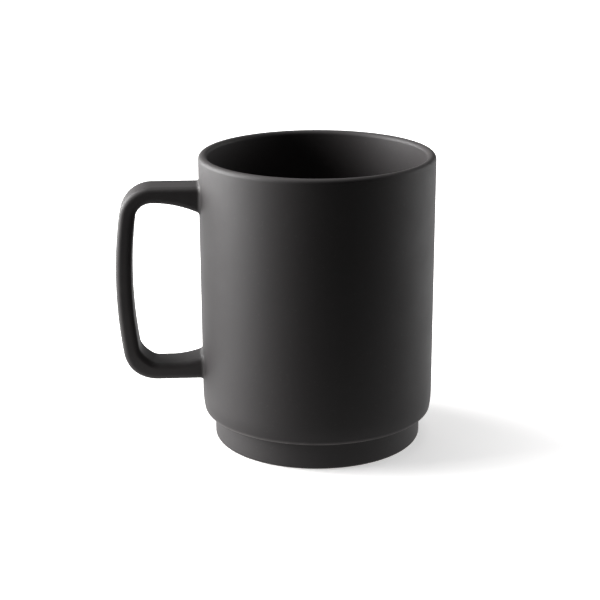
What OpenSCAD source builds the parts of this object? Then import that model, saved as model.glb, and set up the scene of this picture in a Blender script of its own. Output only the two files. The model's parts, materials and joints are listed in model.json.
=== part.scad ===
// Stacking coffee mug with a squared loop handle.
//
// The cup is one clay casting. The handle is cast apart and luted on with slip at its two ends,
// and a thin glaze covers everything but the ring the mug stands on.
// The origin is on the cup's axis at table level, +Z is up and the handle points along -X.
// Sizes are finished sizes, over the glaze, unless a comment says clay.

/* [Cup] */

// Outside diameter of the wall
body_d = 86; // [70:0.5:110]

// Height from the table to the top of the rim
body_h = 107.4; // [85:0.1:140]

// Thickness of the wall, with the glaze on both sides
wall_t = 3.3; // [2.6:0.1:4.5]

// Thickness of the floor, with the glaze on both sides
floor_t = 4.5; // [3.5:0.1:7]

// Radius where the inside wall turns into the floor
inner_corner_r = 10; // [6:0.5:14]

// Thickness of one coat of glaze
glaze_t = 0.4; // [0.2:0.05:0.4]

/* [Stacking foot] */

// Height of the foot, from the table to the ledge
foot_h = 11.1; // [9:0.1:15]

// Gap all round between the foot and the inside of the next mug below
stack_clearance = 1.15; // [0.5:0.05:2]

// Width of the foot ring, from its outside to the hollow under the floor
foot_ring_w = 5; // [4:0.1:8]

// Radius of the foot's lower outside edge
foot_edge_r = 1.3; // [0.8:0.1:2]

// Radius in the corner between the foot and the ledge
ledge_corner_r = 0.5; // [0.2:0.1:1.5]

// Radius of the ledge's outer edge
ledge_edge_r = 0.5; // [0.45:0.05:1.5]

// Radius of the long curve that turns the wall in above the ledge
turn_in_r = 37.5; // [20:0.5:80]

// Height of that curve above the ledge
turn_in_h = 6.9; // [3:0.1:10]

// Radius between the foot ring and the underside of the floor
hollow_corner_r = 3; // [1:0.5:5]

// Chamfer on the inside lower edge of the bare clay ring
ring_chamfer = 0.5; // [0.2:0.1:1]

// Height at which the glaze stops inside the foot ring
inside_bare_h = 1.2; // [0.8:0.1:3]

// Angle below level at which the glaze stops on the foot's lower edge
bare_angle = 50; // [20:5:60]

/* [Handle] */

// Width of the strap, across the handle
strap_w = 14; // [9:0.1:20]

// Thickness of the strap along the grip
grip_t = 5.9; // [4.5:0.1:8]

// Thickness of the upper arm, away from its root
upper_arm_t = 6; // [4.5:0.1:8]

// Thickness of the lower arm, away from its root
lower_arm_t = 6.3; // [4.5:0.1:8]

// Extra thickness in the middle of the lower bend
lower_bend_extra = 0.96; // [0:0.02:1.5]

// Drop from the rim to the middle of the upper arm
upper_arm_drop = 13.6; // [11:0.1:20]

// Height of the middle of the lower arm above the table
lower_arm_h = 27; // [24:0.1:32]

// Reach from the wall to the middle of the grip
grip_reach = 27.8; // [22:0.1:40]

// Radius of the grip's gentle outward bow
grip_bow_r = 171; // [120:1:400]

// Radius of the upper bend, to the middle of the strap
upper_bend_r = 9; // [6:0.1:14]

// Radius of the lower bend, to the middle of the strap
lower_bend_r = 10.2; // [6:0.1:14]

// Depth that the upper arm gains underneath at its root
upper_root_deep = 4; // [1:0.1:6]

// Length over which the upper arm gains it
upper_root_len = 17; // [8:0.1:18]

// Depth that the lower arm gains on top at its root
lower_root_deep = 2.3; // [1:0.1:6]

// Length over which the lower arm gains it
lower_root_len = 11.8; // [8:0.1:15]

/* [Slip joints] */

// Radius of the fillet where an arm meets the wall
joint_fillet_r = 1.2; // [0.8:0.1:2.5]

// Thickness of the slip between the cup and the end of an arm, clay to clay
slip_bed_t = 0.4; // [0.2:0.05:0.6]

/* [Hidden] */

$fn = 96;
clay_colour = "#9a8c7c";
slip_colour = "#b3a491";
glaze_colour = "#3a3939";

// cup
outer_r = body_d / 2;
inner_r = outer_r - wall_t;
clay_r = outer_r - glaze_t;
rim_r = wall_t / 2;
rim_centre = [outer_r - rim_r, body_h - rim_r];
floor_h = foot_h;
hollow_h = floor_h - floor_t;
foot_r = inner_r - stack_clearance;
ring_inside_r = foot_r - foot_ring_w;
turn_centre = [outer_r - turn_in_r, foot_h + turn_in_h];
turn_angle = asin((turn_in_h - ledge_edge_r) / (turn_in_r - ledge_edge_r));
ledge_centre = turn_centre + (turn_in_r - ledge_edge_r) * [cos(turn_angle), -sin(turn_angle)];

// handle
upper_arm_z = body_h - upper_arm_drop;
lower_arm_z = lower_arm_h;
bow_centre = [outer_r + grip_reach - grip_bow_r, (upper_arm_z + lower_arm_z) / 2];
upper_bend_centre = bend_centre(upper_arm_z - upper_bend_r, upper_bend_r);
lower_bend_centre = bend_centre(lower_arm_z + lower_bend_r, lower_bend_r);
upper_bow_angle = direction(upper_bend_centre - bow_centre);
lower_bow_angle = direction(lower_bend_centre - bow_centre);

// facets of the handle
quarter_steps = 4;
flat_fractions = [-0.5, 0, 0.5];
arm_step = 2;
bend_step = 9;
bow_step = 2.1;
fillet_angles = [20, 35, 50, 70];
root_depth = 1.5;

function arc(centre, r, from, to, steps) =
    [for (i = [0:steps]) centre + r * [cos(from + (to - from) * i / steps), sin(from + (to - from) * i / steps)]];

function reversed(list) = [for (i = [len(list) - 1:-1:0]) list[i]];

function after_first(list) = [for (i = [1:len(list) - 1]) list[i]];

function direction(v) = atan2(v[1], v[0]);

// The cup's outlines are drawn at a depth under the finished surface: 0 on the glaze, glaze_t on the clay.

// From the crest of the rim, down the outside to where the glaze stops on the foot
function outside_line(depth) = concat(
    arc(rim_centre, rim_r - depth, 90, 0, 10),
    arc(turn_centre, turn_in_r - depth, 0, -turn_angle, 6),
    after_first(arc(ledge_centre, ledge_edge_r - depth, -turn_angle, -90, 6)),
    arc([foot_r + ledge_corner_r, foot_h - ledge_corner_r], ledge_corner_r + depth, 90, 180, 5),
    arc([foot_r - foot_edge_r, foot_edge_r], foot_edge_r - depth, 0, -bare_angle, 5)
);

// From the middle of the floor, out and up the inside to the crest of the rim
function inside_line(depth) = concat(
    [[0, floor_h - depth]],
    arc([inner_r - inner_corner_r, floor_h + inner_corner_r], inner_corner_r + depth, -90, 0, 12),
    arc(rim_centre, rim_r - depth, 180, 90, 10)
);

// From the middle of the underside, out and down to where the glaze stops inside the foot ring
function underside_line(depth) = concat(
    [[0, hollow_h + depth]],
    arc([ring_inside_r - hollow_corner_r, hollow_h - hollow_corner_r], hollow_corner_r + depth, 90, 0, 6),
    [[ring_inside_r + depth, inside_bare_h]]
);

// The flat ring of bare clay that the mug stands on
standing_ring = [
    [foot_r - foot_edge_r, 0],
    [ring_inside_r + glaze_t + ring_chamfer, 0],
    [ring_inside_r + glaze_t, ring_chamfer]
];

// A coat of glaze between a finished outline and the clay outline under it
module coat(finished, clay) {
    rotate_extrude()
        polygon(concat(finished, reversed(clay)));
}

// The strap's section as [across, outward] points: an outer chain and the inner chain under it, matched
// in their first coordinate. deep sinks the inner side, and grow offsets the whole section outwards.
function outer_chain(t, grow) = let (
    edge = t / 2 + grow,
    flat = strap_w / 2 - t / 2,
    right = [for (i = [0:quarter_steps]) let (a = 90 - 85 * i / quarter_steps) [flat + edge * cos(a), edge * sin(a)]],
    left = [for (p = reversed(right)) [-p[0], p[1]]]
) concat(left, [for (k = flat_fractions) [flat * k, edge]], right);

function section(t, deep, grow) = let (outer = outer_chain(t, grow)) concat(
    outer,
    [for (p = reversed(outer)) [p[0], -deep - p[1]]]
);

section_points = 2 * (2 * (quarter_steps + 1) + len(flat_fractions));

// Where a bend sits, so that it runs smoothly into the bow of the grip
function bend_centre(z, r) =
    [bow_centre[0] + sqrt(pow(grip_bow_r - r, 2) - pow(z - bow_centre[1], 2)), z];

// Thickness of the strap where its outward side faces this angle: 90 is up and -90 is down
function strap_t(facing) = facing > 0
    ? grip_t + (upper_arm_t - grip_t) * pow(sin(facing), 2)
    : grip_t + (lower_arm_t - grip_t) * pow(sin(facing), 2) + lower_bend_extra * pow(sin(2 * facing), 2);

// Straight length of an arm, from the wall to its bend. side is 1 on the upper arm and -1 on the lower.
function arm_length(side) = (side > 0 ? upper_bend_centre[0] : lower_bend_centre[0]) - outer_r;

// How much an arm is deepened at this distance from the wall
function root_deep(side, off) = let (
    deep = side > 0 ? upper_root_deep : lower_root_deep,
    length = min(side > 0 ? upper_root_len : lower_root_len, arm_length(side))
) deep * pow(max(0, 1 - off / length), 2);

// One ring of an arm, wrapped to the wall's curve at a distance off it
function arm_ring(side, off, grow) = let (
    z = side > 0 ? upper_arm_z : lower_arm_z,
    r = outer_r + off
) [for (p = section(strap_t(90 * side), root_deep(side, max(off, 0)), grow))
    [-sqrt(r * r - p[0] * p[0]), p[0], z + side * p[1]]];

// One ring of a bend or of the bow
function bend_ring(centre, r, facing, grow) =
    [for (p = section(strap_t(facing), 0, grow))
        [-centre[0] - (r + p[1]) * cos(facing), p[0], centre[1] + (r + p[1]) * sin(facing)]];

// Distances from the wall of an arm's plain rings, from its fillet to its bend
function arm_offsets(side, from) = let (
    to = arm_length(side),
    steps = ceil((to - from) / arm_step)
) [for (i = [0:steps - 1]) from + (to - from) * i / steps];

// A fillet's ring at an angle round it: 0 would lie along the wall and 90 along the arm
function fillet_ring(side, angle, depth) = arm_ring(
    side,
    joint_fillet_r - (joint_fillet_r + depth) * cos(angle),
    joint_fillet_r - (joint_fillet_r + depth) * sin(angle)
);

// The flared root of an arm, from inside the wall outwards
function root_rings(side, depth) = concat(
    [arm_ring(side, -root_depth, joint_fillet_r - (joint_fillet_r + depth) * sin(fillet_angles[0]))],
    [for (a = fillet_angles) fillet_ring(side, a, depth)]
);

function turn_rings(centre, r, from, to, step, depth) = let (steps = ceil(abs(to - from) / step))
    [for (i = [0:steps - 1]) bend_ring(centre, r, from + (to - from) * i / steps, -depth)];

// The strap between its two roots, from the upper arm to the lower
function strap_rings(depth, from) = concat(
    [for (off = arm_offsets(1, from)) arm_ring(1, off, -depth)],
    turn_rings(upper_bend_centre, upper_bend_r, 90, upper_bow_angle, bend_step, depth),
    turn_rings(bow_centre, grip_bow_r, upper_bow_angle, lower_bow_angle, bow_step, depth),
    turn_rings(lower_bend_centre, lower_bend_r, lower_bow_angle, -90, bend_step, depth),
    [bend_ring(lower_bend_centre, lower_bend_r, -90, -depth)],
    [for (off = reversed(arm_offsets(-1, from))) arm_ring(-1, off, -depth)]
);

// The finished surface of the whole handle, fillets included
finished_rings = concat(
    root_rings(1, 0),
    strap_rings(0, joint_fillet_r),
    reversed(root_rings(-1, 0))
);

// Where the slip's fillet ends on an arm, in a small lip
lip_off = joint_fillet_r - (joint_fillet_r + glaze_t) * cos(fillet_angles[len(fillet_angles) - 1]);

// The strap's clay between the two lips
bare_strap_rings = strap_rings(glaze_t, lip_off);

// The clay and slip surface under the glaze
unglazed_rings = concat(
    root_rings(1, glaze_t),
    bare_strap_rings,
    reversed(root_rings(-1, glaze_t))
);

// The handle's own clay, carried on into the wall so that it can be cut to the wall's curve
clay_rings = concat(
    [arm_ring(1, -root_depth, -glaze_t)],
    bare_strap_rings,
    [arm_ring(-1, -root_depth, -glaze_t)]
);

function joined(rings) = [for (ring = rings) each ring];

// Two triangles between point a of one ring and its neighbour, and the same points of the next ring
function patch(a, a_next, b, b_next) = [[a, b_next, a_next], [a, b, b_next]];

function tube_sides(count, first) = [
    for (k = [0:count - 2], j = [0:section_points - 1]) let (
        j_next = (j + 1) % section_points,
        base = first + k * section_points
    ) each patch(base + j, base + j_next, base + section_points + j, base + section_points + j_next)
];

// A flat end, in strips between matched points of the two chains
function end_cap(first) = [
    for (j = [0:section_points / 2 - 2])
        each patch(first + j, first + section_points - 1 - j, first + j + 1, first + section_points - 2 - j)
];

// An end that is only the edge of a coat, between an outer and an inner ring
function end_rim(outer_first, inner_first) = [
    for (j = [0:section_points - 1]) let (j_next = (j + 1) % section_points)
        each patch(outer_first + j, inner_first + j, outer_first + j_next, inner_first + j_next)
];

function flipped(faces) = [for (f = faces) [f[0], f[2], f[1]]];

module tube(rings) {
    last = (len(rings) - 1) * section_points;
    polyhedron(
        points = joined(rings),
        faces = concat(tube_sides(len(rings), 0), end_cap(0), flipped(end_cap(last)))
    );
}

// The root of one arm alone. A tube's rings run from the upper arm towards the lower.
module root(side, depth) {
    tube(side > 0 ? root_rings(side, depth) : reversed(root_rings(side, depth)));
}

module tube_coat(outer, inner) {
    inner_first = len(outer) * section_points;
    outer_last = inner_first - section_points;
    inner_last = inner_first + (len(inner) - 1) * section_points;
    polyhedron(
        points = concat(joined(outer), joined(inner)),
        faces = concat(
            tube_sides(len(outer), 0),
            flipped(tube_sides(len(inner), inner_first)),
            end_rim(0, inner_first),
            flipped(end_rim(outer_last, inner_last))
        )
    );
}

// Everything inside the cup's clay wall, or inside a cylinder this much larger
module inside_wall(extra) {
    cylinder(r = clay_r + extra, h = body_h, $fn = 720);
}

// The cup as it leaves the mould: wall, floor and foot ring in one casting
module cup_body() {
    color(clay_colour)
        rotate_extrude()
            polygon(concat(
                inside_line(glaze_t),
                after_first(outside_line(glaze_t)),
                standing_ring,
                reversed(underside_line(glaze_t))
            ));
}

// Glaze from the crest of the rim to the foot, open where the arms come through
module outer_glaze() {
    color(glaze_colour)
        difference() {
            coat(outside_line(0), outside_line(glaze_t));
            root(1, 0);
            root(-1, 0);
        }
}

// Glaze inside the cup, up to the crest of the rim
module liner_glaze() {
    color(glaze_colour)
        coat(inside_line(0), inside_line(glaze_t));
}

// Glaze under the floor, inside the foot ring
module base_glaze() {
    color(glaze_colour)
        coat(underside_line(0), underside_line(glaze_t));
}

// The cast handle, its ends cut to the wall's curve
module handle() {
    color(clay_colour)
        difference() {
            tube(clay_rings);
            inside_wall(slip_bed_t);
        }
}

// Slip that beds the end of an arm on the cup and fills the corner round it
module slip_joint(side) {
    color(slip_colour)
        difference() {
            root(side, glaze_t);
            inside_wall(0);
            handle();
        }
}

module upper_slip_joint() {
    slip_joint(1);
}

module lower_slip_joint() {
    slip_joint(-1);
}

// Glaze over the handle and both slip joints
module handle_glaze() {
    color(glaze_colour)
        difference() {
            tube_coat(finished_rings, unglazed_rings);
            inside_wall(0);
        }
}

cup_body();
outer_glaze();
liner_glaze();
base_glaze();
handle();
upper_slip_joint();
lower_slip_joint();
handle_glaze();
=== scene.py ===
"""A matt black stacking mug with a squared loop handle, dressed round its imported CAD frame.

Lengths are metres. The mug's axis is Z, it stands on Z = 0, and the handle points along -X.
"""

import json
import logging
import math
from collections.abc import Callable
from dataclasses import dataclass, field
from enum import Enum

import bmesh
import bpy
import numpy as np
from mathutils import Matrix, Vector


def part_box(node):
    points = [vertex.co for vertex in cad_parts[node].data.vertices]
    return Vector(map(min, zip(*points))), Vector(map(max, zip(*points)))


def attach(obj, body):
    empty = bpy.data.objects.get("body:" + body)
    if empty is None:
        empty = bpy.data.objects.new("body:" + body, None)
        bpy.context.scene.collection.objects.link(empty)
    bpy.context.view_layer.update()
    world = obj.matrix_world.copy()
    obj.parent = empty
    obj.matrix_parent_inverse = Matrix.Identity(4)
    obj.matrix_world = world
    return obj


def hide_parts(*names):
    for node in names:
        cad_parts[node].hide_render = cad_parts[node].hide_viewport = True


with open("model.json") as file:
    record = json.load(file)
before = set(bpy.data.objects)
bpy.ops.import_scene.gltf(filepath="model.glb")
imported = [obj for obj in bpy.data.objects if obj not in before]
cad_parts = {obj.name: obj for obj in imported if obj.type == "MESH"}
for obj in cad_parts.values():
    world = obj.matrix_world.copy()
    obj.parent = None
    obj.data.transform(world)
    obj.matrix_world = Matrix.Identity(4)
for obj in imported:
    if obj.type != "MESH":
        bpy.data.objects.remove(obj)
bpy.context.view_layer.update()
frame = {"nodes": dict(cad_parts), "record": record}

LOG = logging.getLogger("mug")
MM = 0.001
BODY = "root"

# Glazed surfaces sit this far inside the nominal size, so the dressed mug never outgrows the frame.
SKIN = 0.02 * MM

# Points closer than this are one point, and an edge shorter than SLIVER is dropped.
WELD = 0.0001 * MM
SLIVER = 0.00001 * MM

Point = tuple[float, float]
Span = tuple[float, float]
Face = tuple[int, ...]
Colour = tuple[float, float, float, float]
Settings = dict[str, object]
Output = tuple[bpy.types.Node, str]
Links = dict[str, Output]

# Noise hardly leaves this band, so a ramp from it uses its whole range.
FROM_NOISE: Settings = {"From Min": 0.3, "From Max": 0.7}


class Slot(Enum):
    """The record's material slots."""

    CLAY = "stoneware_clay"
    SLIP = "fired_slip"
    GLAZE = "matt_black_glaze"
    LINER = "liner_glaze"


class Arm(Enum):
    """The handle's two arms, valued by the way their outward side faces."""

    UPPER = 1
    LOWER = -1


def linear(code: str) -> Colour:
    """Turns an sRGB hex colour to linear light.

    Args:
        code: Six hex digits after a hash.

    Returns:
        Linear red, green and blue with an alpha of 1.
    """
    parts = [int(code[i : i + 2], 16) / 255 for i in (1, 3, 5)]
    light = [c / 12.92 if c <= 0.04045 else ((c + 0.055) / 1.055) ** 2.4 for c in parts]
    return (light[0], light[1], light[2], 1.0)


def scale_of(size_mm: float) -> float:
    """Pattern scale that gives features of about this many millimetres in object coordinates."""
    return 1.0 / (size_mm * MM)


def socket(sockets: bpy.types.bpy_prop_collection, key: str) -> bpy.types.NodeSocket:
    """Finds a socket by identifier, or else by name.

    Args:
        sockets: A node's inputs or outputs.
        key: The identifier or name.

    Returns:
        The socket.
    """
    exact = [s for s in sockets if s.identifier == key]
    return exact[0] if exact else sockets[key]


def add_node(
    tree: bpy.types.NodeTree, kind: str, settings: Settings | None = None, links: Links | None = None
) -> bpy.types.Node:
    """Adds one node with its settings and links.

    Args:
        tree: The node tree that it goes in.
        kind: The node's type without the ShaderNode prefix.
        settings: Values of input sockets, or of the node's own properties.
        links: Node and output to join, by the input that each goes to.

    Returns:
        The new node.
    """
    node = tree.nodes.new("ShaderNode" + kind)
    properties = {k: v for k, v in (settings or {}).items() if hasattr(node, k)}
    for key, value in properties.items():
        setattr(node, key, value)
    for key, value in (settings or {}).items():
        if key not in properties:
            socket(node.inputs, key).default_value = value
    for key, (source, output) in (links or {}).items():
        tree.links.new(socket(source.outputs, output), socket(node.inputs, key))
    return node


def new_material(name: str) -> tuple[bpy.types.Material, bpy.types.NodeTree, Output]:
    """Starts an empty node material.

    Args:
        name: The material's name.

    Returns:
        The material, its tree and object coordinates in metres.
    """
    material = bpy.data.materials.new(name)
    material.use_nodes = True
    tree = material.node_tree
    tree.nodes.clear()
    place = add_node(tree, "TexCoord")
    return material, tree, (place, "Object")


def shade(tree: bpy.types.NodeTree, settings: Settings, links: Links) -> None:
    """Closes a material with a Principled shader.

    Args:
        tree: The material's tree.
        settings: Constant sockets of the shader.
        links: Varying sockets of the shader.
    """
    shader = add_node(tree, "BsdfPrincipled", settings, links)
    add_node(tree, "OutputMaterial", None, {"Surface": (shader, "BSDF")})


@dataclass(frozen=True)
class MattGlaze:
    """Matt black iron glaze on stoneware, dipped and fired.

    Microscopic crystals scatter the gloss to a broad satin sheen. The melt clouds a little, carries
    fine iron flecks, and thins to a lighter brown grey where it runs off an edge. The same lighter
    grey is also laid along the ledge's edge as a painted highlight.
    """

    name: str = "matt_black_stoneware_glaze"
    deep: str = "#1e1a1b"
    pale: str = "#211d1d"
    fleck: str = "#282424"
    # lighter grey of glaze run thin at edges, also used as a painted highlight along the ledge's edge
    thin: str = "#6b6766"
    cloud_mm: float = 14.0
    fleck_mm: float = 0.9
    # a fleck shows where the grains' noise rises through this band
    fleck_band: Span = (0.63, 0.72)
    fleck_strength: float = 0.8
    # a thin run, and the painted highlight at the ledge, is broken up by the clouds, down to this share
    thin_least: float = 0.35
    # the real eggshell texture is about 0.2 mm, drawn at 0.7 mm so that it shows
    eggshell_mm: float = 0.7
    eggshell_relief: float = 0.012 * MM
    ripple_mm: float = 9.0
    ripple_relief: float = 0.03 * MM
    smoothest: float = 0.57
    roughest: float = 0.63
    ior: float = 1.5

    def make(self) -> bpy.types.Material:
        """Builds the material.

        Returns:
            The glaze, for a mesh with a point attribute that is 1 where the glaze runs thin and where a
            highlight is painted at the ledge.
        """
        material, tree, place = new_material(self.name)
        cloud = add_node(
            tree,
            "TexNoise",
            {"Scale": scale_of(self.cloud_mm), "Detail": 4.0, "Roughness": 0.6},
            {"Vector": place},
        )
        colour = add_node(
            tree,
            "Mix",
            {"data_type": "RGBA", "A_Color": linear(self.deep), "B_Color": linear(self.pale)},
            {"Factor_Float": (cloud, "Fac")},
        )
        grains = add_node(
            tree,
            "TexNoise",
            {"Scale": scale_of(self.fleck_mm), "Detail": 2.0, "Roughness": 0.5},
            {"Vector": place},
        )
        flecks = add_node(
            tree,
            "MapRange",
            {
                "From Min": self.fleck_band[0],
                "From Max": self.fleck_band[1],
                "To Max": self.fleck_strength,
            },
            {"Value": (grains, "Fac")},
        )
        flecked = add_node(
            tree,
            "Mix",
            {"data_type": "RGBA", "B_Color": linear(self.fleck)},
            {"Factor_Float": (flecks, "Result"), "A_Color": (colour, "Result_Color")},
        )
        # where the glaze runs thin, and the painted highlight along the ledge's edge
        runs = add_node(tree, "Attribute", {"attribute_name": "thin"})
        broken = add_node(
            tree,
            "MapRange",
            FROM_NOISE | {"To Min": self.thin_least, "To Max": 1.0},
            {"Value": (cloud, "Fac")},
        )
        thinned = add_node(
            tree,
            "Math",
            {"operation": "MULTIPLY"},
            {"Value": (runs, "Fac"), "Value_001": (broken, "Result")},
        )
        edged = add_node(
            tree,
            "Mix",
            {"data_type": "RGBA", "B_Color": linear(self.thin)},
            {"Factor_Float": (thinned, "Value"), "A_Color": (flecked, "Result_Color")},
        )
        gloss = add_node(
            tree,
            "MapRange",
            FROM_NOISE | {"To Min": self.smoothest, "To Max": self.roughest},
            {"Value": (cloud, "Fac")},
        )
        eggshell = add_node(
            tree,
            "TexNoise",
            {"Scale": scale_of(self.eggshell_mm), "Detail": 3.0, "Roughness": 0.55},
            {"Vector": place},
        )
        fine = add_node(
            tree,
            "Bump",
            {"Strength": 0.35, "Distance": self.eggshell_relief},
            {"Height": (eggshell, "Fac")},
        )
        ripple = add_node(
            tree,
            "TexNoise",
            {"Scale": scale_of(self.ripple_mm), "Detail": 1.0},
            {"Vector": place},
        )
        soft = add_node(
            tree,
            "Bump",
            {"Strength": 0.5, "Distance": self.ripple_relief},
            {"Height": (ripple, "Fac"), "Normal": (fine, "Normal")},
        )
        shade(
            tree,
            {"IOR": self.ior},
            {
                "Base Color": (edged, "Result_Color"),
                "Roughness": (gloss, "Result"),
                "Normal": (soft, "Normal"),
            },
        )
        return material


@dataclass(frozen=True)
class FiredClay:
    """Bare stoneware body or slip, fired to a dry grey buff with grog and iron spots in it."""

    name: str
    body: str
    pale: str
    spot: str = "#4a3c30"
    mottle_mm: float = 6.0
    grog_mm: float = 0.8
    grog_relief: float = 0.06 * MM
    spot_mm: float = 1.6
    # a spot's edge and its heart, as shares of the spots' spacing
    spot_reach: Span = (0.22, 0.12)
    spot_strength: float = 0.7
    smoothest: float = 0.78
    roughest: float = 0.95
    ior: float = 1.52

    def make(self) -> bpy.types.Material:
        """Builds the material.

        Returns:
            The bare fired clay.
        """
        material, tree, place = new_material(self.name)
        mottle = add_node(
            tree,
            "TexNoise",
            {"Scale": scale_of(self.mottle_mm), "Detail": 5.0, "Roughness": 0.65},
            {"Vector": place},
        )
        colour = add_node(
            tree,
            "Mix",
            {"data_type": "RGBA", "A_Color": linear(self.body), "B_Color": linear(self.pale)},
            {"Factor_Float": (mottle, "Fac")},
        )
        iron = add_node(
            tree, "TexVoronoi", {"Scale": scale_of(self.spot_mm), "Randomness": 1.0}, {"Vector": place}
        )
        spots = add_node(
            tree,
            "MapRange",
            {
                "From Min": self.spot_reach[0],
                "From Max": self.spot_reach[1],
                "To Max": self.spot_strength,
            },
            {"Value": (iron, "Distance")},
        )
        spotted = add_node(
            tree,
            "Mix",
            {"data_type": "RGBA", "B_Color": linear(self.spot)},
            {"Factor_Float": (spots, "Result"), "A_Color": (colour, "Result_Color")},
        )
        grog = add_node(
            tree,
            "TexNoise",
            {"Scale": scale_of(self.grog_mm), "Detail": 4.0, "Roughness": 0.7},
            {"Vector": place},
        )
        dry = add_node(
            tree,
            "MapRange",
            FROM_NOISE | {"To Min": self.smoothest, "To Max": self.roughest},
            {"Value": (grog, "Fac")},
        )
        grain = add_node(
            tree,
            "Bump",
            {"Strength": 0.8, "Distance": self.grog_relief},
            {"Height": (grog, "Fac")},
        )
        shade(
            tree,
            {"IOR": self.ior},
            {
                "Base Color": (spotted, "Result_Color"),
                "Roughness": (dry, "Result"),
                "Normal": (grain, "Normal"),
            },
        )
        return material


@dataclass(frozen=True)
class TableTop:
    """Smooth painted board, matt and pale.

    It glows to plain white when looked at, more so far from the mug, as a light table does. Only
    the part behind the mug glows on the mug too, and the paint throws little light back, so the mug
    keeps its dark front.
    """

    name: str = "matt_white_painted_board"
    paint: str = "#f2f1f0"
    worn: str = "#eceaea"
    thrown_back: str = "#6b6b6b"
    mottle_mm: float = 60.0
    roughness: float = 0.75
    near_glow: float = 0.52
    far_glow: float = 1.0
    glow_on_mug: float = 1.1
    # metres along Y over which the glow on the mug rises, from in front of it to behind
    behind: Span = (-0.14, 0.08)
    # metres from the mug's axis over which the seen glow rises
    far_out: Span = (0.045, 0.17)

    def make(self) -> bpy.types.Material:
        """Builds the material.

        Returns:
            The floor's paint.
        """
        material, tree, place = new_material(self.name)
        mottle = add_node(
            tree, "TexNoise", {"Scale": scale_of(self.mottle_mm), "Detail": 2.0}, {"Vector": place}
        )
        colour = add_node(
            tree,
            "Mix",
            {"data_type": "RGBA", "A_Color": linear(self.paint), "B_Color": linear(self.worn)},
            {"Factor_Float": (mottle, "Fac")},
        )
        seen = add_node(tree, "LightPath")
        bounced = add_node(
            tree,
            "Mix",
            {"data_type": "RGBA", "A_Color": linear(self.thrown_back)},
            {"Factor_Float": (seen, "Is Camera Ray"), "B_Color": (colour, "Result_Color")},
        )
        across = add_node(tree, "SeparateXYZ", None, {"Vector": place})
        out = add_node(tree, "VectorMath", {"operation": "LENGTH"}, {"Vector": place})
        on_mug, when_seen = (
            add_node(
                tree,
                "MapRange",
                {
                    "interpolation_type": "SMOOTHSTEP",
                    "From Min": span[0],
                    "From Max": span[1],
                    "To Min": near,
                    "To Max": far,
                },
                {"Value": source},
            )
            for source, span, near, far in (
                ((across, "Y"), self.behind, 0.0, self.glow_on_mug),
                ((out, "Value"), self.far_out, self.near_glow, self.far_glow),
            )
        )
        glow = add_node(
            tree,
            "Mix",
            {"data_type": "FLOAT"},
            {
                "Factor_Float": (seen, "Is Camera Ray"),
                "A_Float": (on_mug, "Result"),
                "B_Float": (when_seen, "Result"),
            },
        )
        shade(
            tree,
            {"Roughness": self.roughness, "Emission Color": linear("#ffffff")},
            {"Base Color": (bounced, "Result_Color"), "Emission Strength": (glow, "Result_Float")},
        )
        return material


def arc(centre: Point, radius: float, start: float, end: float, steps: int) -> list[Point]:
    """Points along an arc.

    Args:
        centre: The arc's centre.
        radius: The arc's radius.
        start: First angle in degrees.
        end: Last angle in degrees.
        steps: Number of equal steps between them.

    Returns:
        The points, both ends included.
    """
    turns = [math.radians(start + (end - start) * i / steps) for i in range(steps + 1)]
    return [(centre[0] + radius * math.cos(t), centre[1] + radius * math.sin(t)) for t in turns]


def line(start: Point, end: Point, spacing: float) -> list[Point]:
    """Evenly spaced points between two points, both left out.

    Args:
        start: Where the line comes from.
        end: Where it goes.
        spacing: About how far apart the points are.

    Returns:
        The points between.
    """
    steps = max(1, round(math.dist(start, end) / spacing))
    return [
        (start[0] + (end[0] - start[0]) * i / steps, start[1] + (end[1] - start[1]) * i / steps)
        for i in range(1, steps)
    ]


def joined(*runs: list[Point], spacing: float) -> list[Point]:
    """Joins runs of points, and fills the straight gaps between them.

    Args:
        runs: The runs, in order.
        spacing: About how far apart the filling points are.

    Returns:
        One run.
    """
    result = list(runs[0])
    for run in runs[1:]:
        if math.dist(result[-1], run[0]) < WELD:
            result += run[1:]
        else:
            result += line(result[-1], run[0], spacing) + run
    return result


def ring_faces(rings: int, count: int) -> list[Face]:
    """Faces between rings of points, closed round each ring and from the last ring to the first.

    Args:
        rings: Number of rings.
        count: Number of points in each ring.

    Returns:
        Four vertex indices for each face.
    """
    return [
        (i * count + j, i * count + (j + 1) % count, k * count + (j + 1) % count, k * count + j)
        for i in range(rings)
        for k in [(i + 1) % rings]
        for j in range(count)
    ]


def closed_mesh(name: str, rings: list[np.ndarray], crease_deg: float) -> bpy.types.Object:
    """Makes a clean smooth mesh object from rings of points.

    Args:
        name: The piece's name.
        rings: The rings in order, each with the same number of points.
        crease_deg: Edges that turn more than this stay sharp.

    Returns:
        The object, linked to the scene.
    """
    mesh = bpy.data.meshes.new(name)
    mesh.from_pydata(np.concatenate(rings).tolist(), [], ring_faces(len(rings), len(rings[0])))
    work = bmesh.new()
    work.from_mesh(mesh)
    bmesh.ops.remove_doubles(work, verts=work.verts, dist=WELD)
    bmesh.ops.dissolve_degenerate(work, edges=work.edges, dist=SLIVER)
    bmesh.ops.recalc_face_normals(work, faces=work.faces)
    work.to_mesh(mesh)
    work.free()
    mesh.polygons.foreach_set("use_smooth", [True] * len(mesh.polygons))
    mesh.set_sharp_from_angle(angle=math.radians(crease_deg))
    mesh.update()
    piece = bpy.data.objects.new(name, mesh)
    bpy.context.scene.collection.objects.link(piece)
    return piece


def paint_thin(piece: bpy.types.Object, share: Callable[[Vector], float]) -> None:
    """Stores how thin the glaze runs at each point of a mesh, together with any highlight painted there.

    Args:
        piece: The glazed mesh.
        share: Gives 0 for full thickness and no painted highlight, up to 1, from a position.
    """
    layer = piece.data.attributes.new("thin", "FLOAT", "POINT")
    layer.data.foreach_set("value", [share(v.co) for v in piece.data.vertices])


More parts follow.
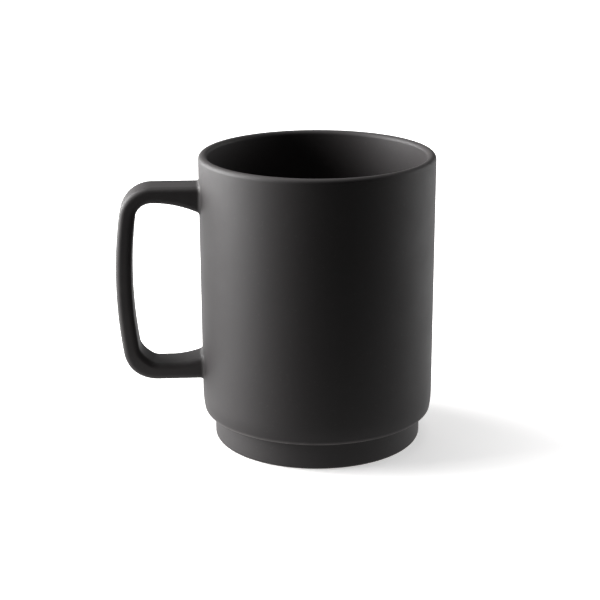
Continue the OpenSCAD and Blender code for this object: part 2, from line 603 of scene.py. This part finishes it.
def seat(
    piece: bpy.types.Object, material: bpy.types.Material, slot: Slot, *nodes: str
) -> bpy.types.Object:
    """Gives a piece its finish and its place in the frame.

    Args:
        piece: The finished mesh.
        material: Its finish.
        slot: The record's slot for it; not used.
        nodes: The CAD nodes that it stands for.

    Returns:
        The same piece.
    """
    piece.data.materials.append(material)
    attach(piece, BODY)
    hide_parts(*nodes)
    LOG.info("%s stands for %s", piece.name, ", ".join(nodes))
    return piece


def dress(node: str, material: bpy.types.Material) -> None:
    """Finishes a CAD node that is carried over as it is.

    Args:
        node: The CAD node's name.
        material: Its finish.
    """
    piece = frame["nodes"][node]
    piece.data.materials.clear()
    piece.data.materials.append(material)
    LOG.info("%s is carried over", node)


def mount(name: str) -> dict:
    """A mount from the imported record, by its name."""
    return next(m for m in frame["record"]["mounts"] if m["name"] == name)


def glaze_thickness() -> float:
    """Thickness of every coat, from the cup's wall with and without its glaze."""
    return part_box("outer_glaze")[1].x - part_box("cup_body")[1].x


def fade(distance: float, reach: float) -> float:
    """1 at no distance, down evenly to 0 at the reach and beyond."""
    return max(0.0, 1 - distance / reach)


@dataclass
class Cup:
    """The cast cup: clay wall, floor and foot, and its three coats of glaze."""

    corner_r: float = 10 * MM
    ledge_corner_r: float = 0.5 * MM
    ledge_edge_r: float = 0.5 * MM
    turn_in_r: float = 37.5 * MM
    turn_in_h: float = 6.9 * MM
    foot_edge_r: float = 1.3 * MM
    hollow_corner_r: float = 3 * MM
    ring_chamfer: float = 0.5 * MM
    # the bare ring's edges are eased by this much
    bare_ease: float = 0.12 * MM
    # the glaze stops this many degrees below level on the foot's edge
    bare_deg: float = 50.0
    # how far the glaze's edge wanders, round the foot's edge and inside the ring
    wander_deg: float = 5.0
    wander_h: float = 0.22 * MM
    # a coat's edge bulges by this share of half its thickness, with a point every so many degrees
    lip_bulge: float = 0.6
    lip_step: int = 30
    # a point this many degrees beside the rim's crest keeps the shade even where two coats meet
    crest_deg: float = 0.4
    # how thin the glaze runs at the rim and the foot, how strong the painted highlight along the ledge's
    # edge is, and over what height
    rim_thin: float = 0.1
    rim_reach: float = 1.1 * MM
    ledge_thin: float = 0.9
    ledge_highlight_reach: float = 0.5 * MM
    toe_thin: float = 0.25
    toe_reach: float = 1 * MM
    # the painted highlight at the ledge is centred this far above its underside, and starts this far off
    # the foot
    ledge_highlight_up: float = 0.25 * MM
    ledge_highlight_out: float = 1.5 * MM
    # steps round the axis, and along each arc of the outline
    segments: int = 448
    rim_steps: int = 20
    turn_in_steps: int = 8
    ledge_edge_steps: int = 10
    ledge_corner_steps: int = 8
    toe_steps: int = 12
    floor_steps: int = 20
    hollow_steps: int = 12
    spacing: float = 3.2 * MM
    ring_spacing: float = 1 * MM
    crease_deg: float = 42.0
    outer_r: float = field(init=False)
    inner_r: float = field(init=False)
    glaze_t: float = field(init=False)
    height: float = field(init=False)
    floor_h: float = field(init=False)
    hollow_h: float = field(init=False)
    foot_r: float = field(init=False)
    foot_h: float = field(init=False)
    ring_inside_r: float = field(init=False)
    inside_bare_h: float = field(init=False)

    def __post_init__(self) -> None:
        """Reads the cup's main sizes from the frame."""
        outer, liner, base = (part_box(n) for n in ("outer_glaze", "liner_glaze", "base_glaze"))
        foot, bore = mount("stacking_foot"), mount("cup_bore")
        self.outer_r = outer[1].x
        self.height = outer[1].z
        self.inner_r = bore["dims"]["r_mm"] * MM
        self.glaze_t = glaze_thickness()
        self.floor_h = liner[0].z + self.glaze_t
        self.hollow_h = base[1].z - self.glaze_t
        self.ring_inside_r = base[1].x - self.glaze_t
        self.inside_bare_h = base[0].z
        self.foot_r = foot["dims"]["r_mm"] * MM
        foot_wall_top = foot["pos_m"][2] + foot["dims"]["length_mm"] * MM / 2
        self.foot_h = foot_wall_top + self.ledge_corner_r

    def wander(self, turn: float) -> float:
        """How the glaze's edge wanders round the foot, from -1 to 1.

        Args:
            turn: Angle round the axis in radians.

        Returns:
            The share of the most that it wanders.
        """
        waves = ((3, 0.4, 0.35), (7, 1.9, 0.25), (16, 4.1, 0.2), (37, 2.6, 0.2))
        return sum(size * math.sin(count * turn + start) for count, start, size in waves)

    def rim(self, depth: float, start: float, end: float) -> list[Point]:
        """A quarter of the rim's round, with a close pair of points at the crest.

        Args:
            depth: Depth under the finished surface.
            start: First angle in degrees.
            end: Last angle in degrees.

        Returns:
            The points.
        """
        wall = self.outer_r - self.inner_r
        centre = (self.outer_r - wall / 2, self.height - wall / 2)
        beside = self.crest_deg if end > start else -self.crest_deg
        points = arc(centre, wall / 2 - depth, start, end, self.rim_steps)
        if start == 90:
            points.insert(1, arc(centre, wall / 2 - depth, start + beside, end, 1)[0])
        if end == 90:
            points.insert(-1, arc(centre, wall / 2 - depth, start, end - beside, 1)[1])
        return points

    def outside(self, depth: float, last_angle: float) -> list[Point]:
        """From the rim's crest down the outside to where the glaze stops on the foot.

        Args:
            depth: Depth under the finished surface.
            last_angle: Angle below level at which the line ends on the foot's edge.

        Returns:
            The points.
        """
        turn = (self.outer_r - self.turn_in_r, self.foot_h + self.turn_in_h)
        reach = self.turn_in_r - self.ledge_edge_r
        swing = math.asin((self.turn_in_h - self.ledge_edge_r) / reach)
        edge = (turn[0] + reach * math.cos(swing), turn[1] - reach * math.sin(swing))
        swing = math.degrees(swing)
        corner = (self.foot_r + self.ledge_corner_r, self.foot_h - self.ledge_corner_r)
        toe = (self.foot_r - self.foot_edge_r, self.foot_edge_r)
        return joined(
            self.rim(depth, 90, 0),
            arc(turn, self.turn_in_r - depth, 0, -swing, self.turn_in_steps),
            arc(edge, self.ledge_edge_r - depth, -swing, -90, self.ledge_edge_steps),
            arc(corner, self.ledge_corner_r + depth, 90, 180, self.ledge_corner_steps),
            arc(toe, self.foot_edge_r - depth, 0, -last_angle, self.toe_steps),
            spacing=self.spacing,
        )

    def inside(self, depth: float) -> list[Point]:
        """From the middle of the floor up the inside to the rim's crest.

        Args:
            depth: Depth under the finished surface.

        Returns:
            The points.
        """
        corner = (self.inner_r - self.corner_r, self.floor_h + self.corner_r)
        return joined(
            [(0.0, self.floor_h - depth)],
            arc(corner, self.corner_r + depth, -90, 0, self.floor_steps),
            self.rim(depth, 180, 90),
            spacing=self.spacing,
        )

    def underside(self, depth: float, last_z: float) -> list[Point]:
        """From the middle of the hollow out and down to where the glaze stops in the foot ring.

        Args:
            depth: Depth under the finished surface.
            last_z: Height at which the line ends.

        Returns:
            The points.
        """
        corner = (self.ring_inside_r - self.hollow_corner_r, self.hollow_h - self.hollow_corner_r)
        return joined(
            [(0.0, self.hollow_h + depth)],
            arc(corner, self.hollow_corner_r + depth, 90, 0, self.hollow_steps),
            [(self.ring_inside_r + depth, last_z)],
            spacing=self.spacing,
        )

    def lathe(self, name: str, outline: Callable[[float], list[Point]]) -> bpy.types.Object:
        """Turns a closed outline round the axis.

        Args:
            name: The piece's name.
            outline: Gives the outline's points at an angle, always the same number of them.

        Returns:
            The turned piece.
        """
        turns = [2 * math.pi * i / self.segments for i in range(self.segments)]
        outlines = [np.array(outline(t)) for t in turns]
        rings = [
            np.c_[points[:, 0] * math.cos(t), points[:, 0] * math.sin(t), points[:, 1]]
            for points, t in zip(outlines, turns)
        ]
        return closed_mesh(name, rings, self.crease_deg)

    def lip(self, finished: Point, clay: Point) -> list[Point]:
        """The rounded edge of a coat, between its finished side and its clay side.

        Args:
            finished: Last point on the glaze.
            clay: The point under it on the clay.

        Returns:
            The points between them.
        """
        centre = ((finished[0] + clay[0]) / 2, (finished[1] + clay[1]) / 2)
        out = (finished[0] - centre[0], finished[1] - centre[1])
        turned = (-out[1], out[0]) if out[0] < 0 else (out[1], -out[0])
        turns = [math.radians(a) for a in range(self.lip_step, 180, self.lip_step)]
        return [
            (
                centre[0] + out[0] * math.cos(t) + turned[0] * self.lip_bulge * math.sin(t),
                centre[1] + out[1] * math.cos(t) + turned[1] * self.lip_bulge * math.sin(t),
            )
            for t in turns
        ]

    def outer_outline(self, turn: float) -> list[Point]:
        """The outer coat's outline at an angle round the axis."""
        last = self.bare_deg + self.wander_deg * self.wander(turn)
        glaze, clay = self.outside(SKIN, last), self.outside(self.glaze_t, last)
        return glaze + self.lip(glaze[-1], clay[-1]) + clay[::-1]

    def liner_outline(self, turn: float) -> list[Point]:
        """The liner coat's outline, the same at every angle."""
        return self.inside(SKIN) + self.inside(self.glaze_t)[::-1]

    def base_outline(self, turn: float) -> list[Point]:
        """The base coat's outline at an angle round the axis."""
        last = self.inside_bare_h + self.wander_h * (1 + self.wander(turn + 1))
        glaze, clay = self.underside(SKIN, last), self.underside(self.glaze_t, last)
        return glaze + self.lip(glaze[-1], clay[-1]) + clay[::-1]

    def clay_outline(self, turn: float) -> list[Point]:
        """The clay cup's outline, the same at every angle."""
        toe_r = self.foot_r - self.foot_edge_r
        ring_in = self.ring_inside_r + self.glaze_t
        outside = self.outside(self.glaze_t, self.bare_deg)
        under = self.underside(self.glaze_t, self.ring_chamfer)
        ease = self.bare_ease
        ring = joined(
            [outside[-1], (toe_r + ease, ease), (toe_r, 0.0)],
            [(ring_in + self.ring_chamfer, 0.0), (ring_in + self.ring_chamfer - ease, ease / 2)],
            [under[-1]],
            spacing=self.ring_spacing,
        )
        return self.inside(self.glaze_t) + outside[1:-1] + ring[:-1] + under[::-1]

    def thinness(self, place: Vector) -> float:
        """How thin the glaze runs at a place on the cup, with the highlight painted along the ledge's edge.

        Args:
            place: A point on the glaze.

        Returns:
            0 for full thickness and no painted highlight, up to 1.
        """
        past_foot = math.hypot(place.x, place.y) > self.foot_r + self.ledge_highlight_out
        rim = self.rim_thin * fade(self.height - place.z, self.rim_reach)
        # a highlight painted in the lighter grey along the ledge's edge, where light catches it
        ledge_highlight_share = self.ledge_thin * fade(abs(place.z - self.foot_h - self.ledge_highlight_up), self.ledge_highlight_reach)
        toe = self.toe_thin * fade(place.z, self.toe_reach)
        return min(1.0, rim + toe + (ledge_highlight_share if past_foot else 0.0))

    def build(self, glaze: bpy.types.Material, liner: bpy.types.Material, clay: bpy.types.Material) -> None:
        """Makes the clay cup and its three coats.

        Args:
            glaze: Finish of the outer and base coats.
            liner: Finish of the coat inside, the same glaze painted a shade lighter as painted light.
            clay: Finish of the bare clay.
        """
        seat(self.lathe("clay_cup", self.clay_outline), clay, Slot.CLAY, "cup_body")
        coats = (
            ("outer_coat", self.outer_outline, glaze, Slot.GLAZE, "outer_glaze"),
            ("liner_coat", self.liner_outline, liner, Slot.LINER, "liner_glaze"),
            ("base_coat", self.base_outline, glaze, Slot.GLAZE, "base_glaze"),
        )
        for name, outline, finish, slot, node in coats:
            coat = self.lathe(name, outline)
            paint_thin(coat, self.thinness)
            seat(coat, finish, slot, node)


@dataclass
class Handle:
    """The squared loop handle: a rounded strap luted to the cup at two flared roots."""

    grip_t: float = 5.9 * MM
    upper_arm_t: float = 6 * MM
    lower_arm_t: float = 6.3 * MM
    lower_bend_extra: float = 0.96 * MM
    grip_bow_r: float = 171 * MM
    upper_bend_r: float = 9 * MM
    lower_bend_r: float = 10.2 * MM
    upper_root_deep: float = 4 * MM
    upper_root_len: float = 17 * MM
    lower_root_deep: float = 2.3 * MM
    lower_root_len: float = 11.8 * MM
    fillet_r: float = 1.2 * MM
    edge_r: float = 2.2 * MM
    sunk: float = 0.28 * MM
    # the glaze runs a little thinner along the strap's two edges
    edge_thin: float = 0.08
    edge_reach: float = 1.6 * MM
    # degrees round a root's fillet of the coat's rings, outside and on the clay
    root_degs: tuple[float, ...] = (0, 4, 10, 18, 27, 36, 45, 54, 63, 72, 81)
    buried_degs: tuple[float, ...] = (24, 38, 52, 66)
    # where round the buried fillet the straight of the arm takes over
    buried_end_deg: float = 72.0
    quarter_steps: int = 14
    flat_steps: int = 8
    # largest step between rings, along the arms and in degrees round the bends and the bow
    arm_step: float = 0.7 * MM
    bend_step: float = 2.5
    bow_step: float = 0.25
    crease_deg: float = 50.0
    outer_r: float = field(init=False)
    glaze_t: float = field(init=False)
    width: float = field(init=False)
    upper_z: float = field(init=False)
    lower_z: float = field(init=False)
    bow_centre: Point = field(init=False)

    def __post_init__(self) -> None:
        """Reads the handle's place and width from the frame."""
        clay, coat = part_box("handle"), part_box("handle_glaze")
        self.outer_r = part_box("outer_glaze")[1].x
        self.glaze_t = glaze_thickness()
        self.width = clay[1].y - clay[0].y + 2 * self.glaze_t
        self.upper_z = clay[1].z + self.glaze_t - self.upper_arm_t / 2
        self.lower_z = clay[0].z - self.glaze_t + self.lower_arm_t / 2
        middle = -coat[0].x - self.grip_t / 2
        self.bow_centre = (middle - self.grip_bow_r, (self.upper_z + self.lower_z) / 2)

    def arm_z(self, arm: Arm) -> float:
        """Height of the middle of an arm."""
        return self.upper_z if arm is Arm.UPPER else self.lower_z

    def bend(self, arm: Arm) -> tuple[Point, float]:
        """Where an arm's bend turns, so that it runs smoothly into the bow.

        Args:
            arm: Which arm.

        Returns:
            The bend's centre, as distance from the axis and height, and its radius.
        """
        radius = self.upper_bend_r if arm is Arm.UPPER else self.lower_bend_r
        z = self.arm_z(arm) - arm.value * radius
        reach = math.sqrt((self.grip_bow_r - radius) ** 2 - (z - self.bow_centre[1]) ** 2)
        return (self.bow_centre[0] + reach, z), radius

    def thickness(self, facing: float) -> float:
        """Thickness of the strap where its outward side faces an angle.

        Args:
            facing: Degrees above level, so 90 is up and -90 is down.

        Returns:
            The thickness.
        """
        turn = math.radians(facing)
        arm_t = self.upper_arm_t if facing > 0 else self.lower_arm_t
        extra = 0.0 if facing > 0 else self.lower_bend_extra * math.sin(2 * turn) ** 2
        return self.grip_t + (arm_t - self.grip_t) * math.sin(turn) ** 2 + extra

    def deepening(self, arm: Arm, off: float) -> float:
        """How much an arm is deepened at a distance from the wall.

        Args:
            arm: Which arm.
            off: Distance from the wall.

        Returns:
            The extra depth on the side towards the other arm.
        """
        upper = arm is Arm.UPPER
        deep = self.upper_root_deep if upper else self.lower_root_deep
        straight = self.bend(arm)[0][0] - self.outer_r
        length = min(self.upper_root_len if upper else self.lower_root_len, straight)
        return deep * fade(max(off, 0.0), length) ** 2

    def section(self, thick: float, deep: float, grow: float) -> np.ndarray:
        """The strap's section, a bar with well rounded edges.

        Args:
            thick: Thickness of the strap.
            deep: How far the inner side is pushed in towards the other arm.
            grow: How far the whole outline is pushed out.

        Returns:
            Rows of across and outward, once round.
        """
        edge = self.edge_r + grow
        flat, rise = self.width / 2 - self.edge_r, thick / 2 - self.edge_r
        right = arc((flat, rise), edge, 90, 0, self.quarter_steps)
        left = [(-x, z) for x, z in reversed(right)]
        flats = [(flat * (2 * i / self.flat_steps - 1), rise + edge) for i in range(1, self.flat_steps)]
        outer = left + flats + right
        return np.array(outer + [(x, -deep - z) for x, z in reversed(outer)])

    def arm_ring(self, arm: Arm, off: float, grow: float) -> np.ndarray:
        """One ring of an arm, wrapped to the wall's curve.

        Args:
            arm: Which arm.
            off: Distance from the wall.
            grow: How far the outline is pushed out.

        Returns:
            The ring's points.
        """
        shape = self.section(self.thickness(90 * arm.value), self.deepening(arm, off), grow)
        x = -np.sqrt((self.outer_r + off) ** 2 - shape[:, 0] ** 2)
        return np.c_[x, shape[:, 0], self.arm_z(arm) + arm.value * shape[:, 1]]

    def turned_ring(self, centre: Point, radius: float, facing: float, grow: float) -> np.ndarray:
        """One ring of a bend or of the bow.

        Args:
            centre: Distance from the axis and height that the strap turns round.
            radius: Radius to the middle of the strap.
            facing: Degrees above level that the outward side faces.
            grow: How far the outline is pushed out.

        Returns:
            The ring's points.
        """
        shape = self.section(self.thickness(facing), 0.0, grow)
        turn = math.radians(facing)
        reach = radius + shape[:, 1]
        x = -centre[0] - reach * math.cos(turn)
        return np.c_[x, shape[:, 0], centre[1] + reach * math.sin(turn)]

    def fillet(self, arm: Arm, depth: float, angles: tuple[float, ...]) -> list[np.ndarray]:
        """Rings round the fillet between an arm and the wall.

        Args:
            arm: Which arm.
            depth: Depth under the finished surface.
            angles: Degrees round the fillet, where 0 lies along the wall and 90 along the arm.

        Returns:
            The rings.
        """
        reach = self.fillet_r + depth
        turns = [math.radians(a) for a in angles]
        return [
            self.arm_ring(arm, self.fillet_r - reach * math.cos(t), self.fillet_r - reach * math.sin(t))
            for t in turns
        ]

    def straight(self, arm: Arm, depth: float, start: float) -> list[np.ndarray]:
        """Rings along the straight of an arm, up to its bend.

        Args:
            arm: Which arm.
            depth: Depth under the finished surface.
            start: Distance from the wall of the first ring.

        Returns:
            The rings, from the wall outwards.
        """
        end = self.bend(arm)[0][0] - self.outer_r
        steps = math.ceil((end - start) / self.arm_step)
        return [self.arm_ring(arm, start + (end - start) * i / steps, -depth) for i in range(steps)]

    def turns(
        self, centre: Point, radius: float, span: Span, step: float, depth: float
    ) -> list[np.ndarray]:
        """Rings round a bend or along the bow, the last one left out.

        Args:
            centre: What the strap turns round.
            radius: Radius to the middle of the strap.
            span: First and last facing, in degrees.
            step: Largest turn between rings, in degrees.
            depth: Depth under the finished surface.

        Returns:
            The rings.
        """
        steps = math.ceil(abs(span[1] - span[0]) / step)
        facings = [span[0] + (span[1] - span[0]) * i / steps for i in range(steps)]
        return [self.turned_ring(centre, radius, f, -depth) for f in facings]

    def strap(self, depth: float, start: float) -> list[np.ndarray]:
        """Rings of the whole strap between its two roots.

        Args:
            depth: Depth under the finished surface.
            start: Distance from the wall at which each arm's rings begin.

        Returns:
            The rings, from the upper arm to the lower.
        """
        (upper, upper_r), (lower, lower_r) = self.bend(Arm.UPPER), self.bend(Arm.LOWER)
        top, bottom = (
            math.degrees(math.atan2(c[1] - self.bow_centre[1], c[0] - self.bow_centre[0]))
            for c in (upper, lower)
        )
        return (
            self.straight(Arm.UPPER, depth, start)
            + self.turns(upper, upper_r, (90, top), self.bend_step, depth)
            + self.turns(self.bow_centre, self.grip_bow_r, (top, bottom), self.bow_step, depth)
            + self.turns(lower, lower_r, (bottom, -90), self.bend_step, depth)
            + [self.turned_ring(lower, lower_r, -90, -depth)]
            + self.straight(Arm.LOWER, depth, start)[::-1]
        )

    def coat(self) -> bpy.types.Object:
        """Makes the handle's glaze, with a fillet into the wall at each root.

        Returns:
            The closed coat.
        """
        upper_root, lower_root = (
            [self.arm_ring(arm, -self.sunk, self.fillet_r)] + self.fillet(arm, SKIN, self.root_degs)
            for arm in Arm
        )
        upper_buried, lower_buried = (self.fillet(arm, self.glaze_t, self.buried_degs) for arm in Arm)
        buried_r = self.fillet_r + self.glaze_t
        buried_start = self.fillet_r - buried_r * math.cos(math.radians(self.buried_end_deg))
        outer = upper_root + self.strap(SKIN, self.fillet_r) + lower_root[::-1]
        inner = upper_buried + self.strap(self.glaze_t, buried_start) + lower_buried[::-1]
        return closed_mesh("handle_coat", outer + inner[::-1], self.crease_deg)

    def thinness(self, place: Vector) -> float:
        """How thin the glaze runs at a place on the handle.

        Args:
            place: A point on the handle's glaze.

        Returns:
            0 for full thickness to 1 for thin.
        """
        return self.edge_thin * fade(self.width / 2 - abs(place.y), self.edge_reach)

    def build(self, glaze: bpy.types.Material, clay: bpy.types.Material, slip: bpy.types.Material) -> None:
        """Makes the handle's coat and finishes the clay and slip under it.

        Args:
            glaze: Finish of the coat.
            clay: Finish of the cast clay.
            slip: Finish of the two joints.
        """
        coat = self.coat()
        paint_thin(coat, self.thinness)
        seat(coat, glaze, Slot.GLAZE, "handle_glaze")
        dress("handle", clay)
        dress("upper_slip_joint", slip)
        dress("lower_slip_joint", slip)


@dataclass(frozen=True)
class Softbox:
    """One square softbox, aimed at the mug's middle.

    Its place is given round the mug: degrees from the front towards the left, degrees above level,
    and metres from the mug.
    """

    name: str
    round_deg: float
    above_deg: float
    distance: float
    size: float
    watts: float
    aim_height: float = 0.05
    floor_gap: float = 0.005

    def hang(self) -> None:
        """Puts the light in the scene, clear of the floor."""
        lamp = bpy.data.lights.new(self.name, "AREA")
        lamp.shape = "SQUARE"
        lamp.size = self.size
        lamp.energy = self.watts
        light = bpy.data.objects.new(self.name, lamp)
        turn, tip = math.radians(self.round_deg), math.radians(self.above_deg)
        away = Vector((-math.sin(turn) * math.cos(tip), -math.cos(turn) * math.cos(tip), math.sin(tip)))
        aim = Vector((0, 0, self.aim_height))
        light.location = aim + away * self.distance
        light.location.z = max(light.location.z, self.size / 2 + self.floor_gap)
        light.rotation_mode = "QUATERNION"
        light.rotation_quaternion = (-away).to_track_quat("-Z", "Y")
        bpy.context.scene.collection.objects.link(light)


@dataclass
class Studio:
    """The pale floor, soft lights and camera round the mug."""

    floor_size: float = 12.0
    floor_cells: int = 8
    backdrop: str = "#f6f6f6"
    # the camera: degrees to the left of the front and above level, metres away, and a lens in mm
    turn: float = 4.01
    elevation: float = 17.76
    distance: float = 0.5639
    aim_height: float = 0.0516
    lens: float = 91.03
    shift: float = -0.0287
    clip: Span = (0.02, 50.0)
    softboxes: tuple[Softbox, ...] = (
        Softbox("left_softbox", 90, 12, 0.9, 0.5, 14.0),
        Softbox("left_rear_softbox", 120, 12, 0.9, 0.5, 11.0),
        Softbox("right_softbox", -90, 12, 0.9, 0.5, 0.9),
        Softbox("right_rear_softbox", -120, 12, 0.9, 0.5, 1.8),
        Softbox("rear_softbox", 180, 18, 1.3, 0.9, 1.0),
        Softbox("high_rear_softbox", 180, 50, 1.3, 0.9, 1.4),
        Softbox("high_left_softbox", 106, 45, 0.9, 0.5, 7.0),
        Softbox("top_softbox", 180, 88, 0.9, 0.7, 2.0),
    )

    def lay_floor(self) -> None:
        """Lays the pale floor under the mug."""
        mesh = bpy.data.meshes.new("floor")
        work = bmesh.new()
        cells = self.floor_cells
        bmesh.ops.create_grid(work, x_segments=cells, y_segments=cells, size=self.floor_size / 2)
        work.to_mesh(mesh)
        work.free()
        floor = bpy.data.objects.new("floor", mesh)
        mesh.materials.append(TableTop().make())
        bpy.context.scene.collection.objects.link(floor)

    def light(self) -> None:
        """Hangs the softboxes, and sets a pale backdrop that is seen but lights nothing."""
        for box in self.softboxes:
            box.hang()
        world = bpy.data.worlds.new("room")
        world.use_nodes = True
        world.node_tree.nodes.clear()
        seen = add_node(world.node_tree, "LightPath")
        room = add_node(
            world.node_tree,
            "Background",
            {"Color": linear(self.backdrop)},
            {"Strength": (seen, "Is Camera Ray")},
        )
        add_node(world.node_tree, "OutputWorld", None, {"Surface": (room, "Background")})
        bpy.context.scene.world = world
        bpy.context.scene.view_settings.view_transform = "Standard"

    def set_camera(self) -> None:
        """Sets the camera a little above the rim's level, almost square to the handle."""
        turn, tip = math.radians(self.turn), math.radians(self.elevation)
        look = Vector((math.sin(turn) * math.cos(tip), math.cos(turn) * math.cos(tip), -math.sin(tip)))
        lens = bpy.data.cameras.new("camera")
        lens.lens = self.lens
        lens.shift_x = self.shift
        lens.clip_start, lens.clip_end = self.clip
        camera = bpy.data.objects.new("camera", lens)
        camera.location = Vector((0, 0, self.aim_height)) - look * self.distance
        camera.rotation_mode = "QUATERNION"
        camera.rotation_quaternion = look.to_track_quat("-Z", "Y")
        bpy.context.scene.collection.objects.link(camera)
        bpy.context.scene.camera = camera

    def build(self) -> None:
        """Sets up the floor, the lights and the camera."""
        self.lay_floor()
        self.light()
        self.set_camera()
        LOG.info("studio is set")


def main() -> None:
    """Builds the mug and its studio in order."""
    glaze = MattGlaze()
    outside = glaze.make()
    # the liner is the outer glaze painted a shade lighter, as painted light inside the cup
    inside = MattGlaze(
        name="matt_black_glaze_painted_lighter_inside", deep="#221e1f", pale="#252121", fleck="#2c2828"
    ).make()
    clay = FiredClay("bare_fired_stoneware", "#8d7f70", "#a39586").make()
    slip = FiredClay("bare_fired_slip", "#a59684", "#b8aa98", grog_mm=0.5).make()
    Cup().build(outside, inside, clay)
    Handle().build(outside, clay, slip)
    Studio().build()


if __name__ == "__main__":
    logging.basicConfig(level=logging.INFO, format="%(message)s")
    main()
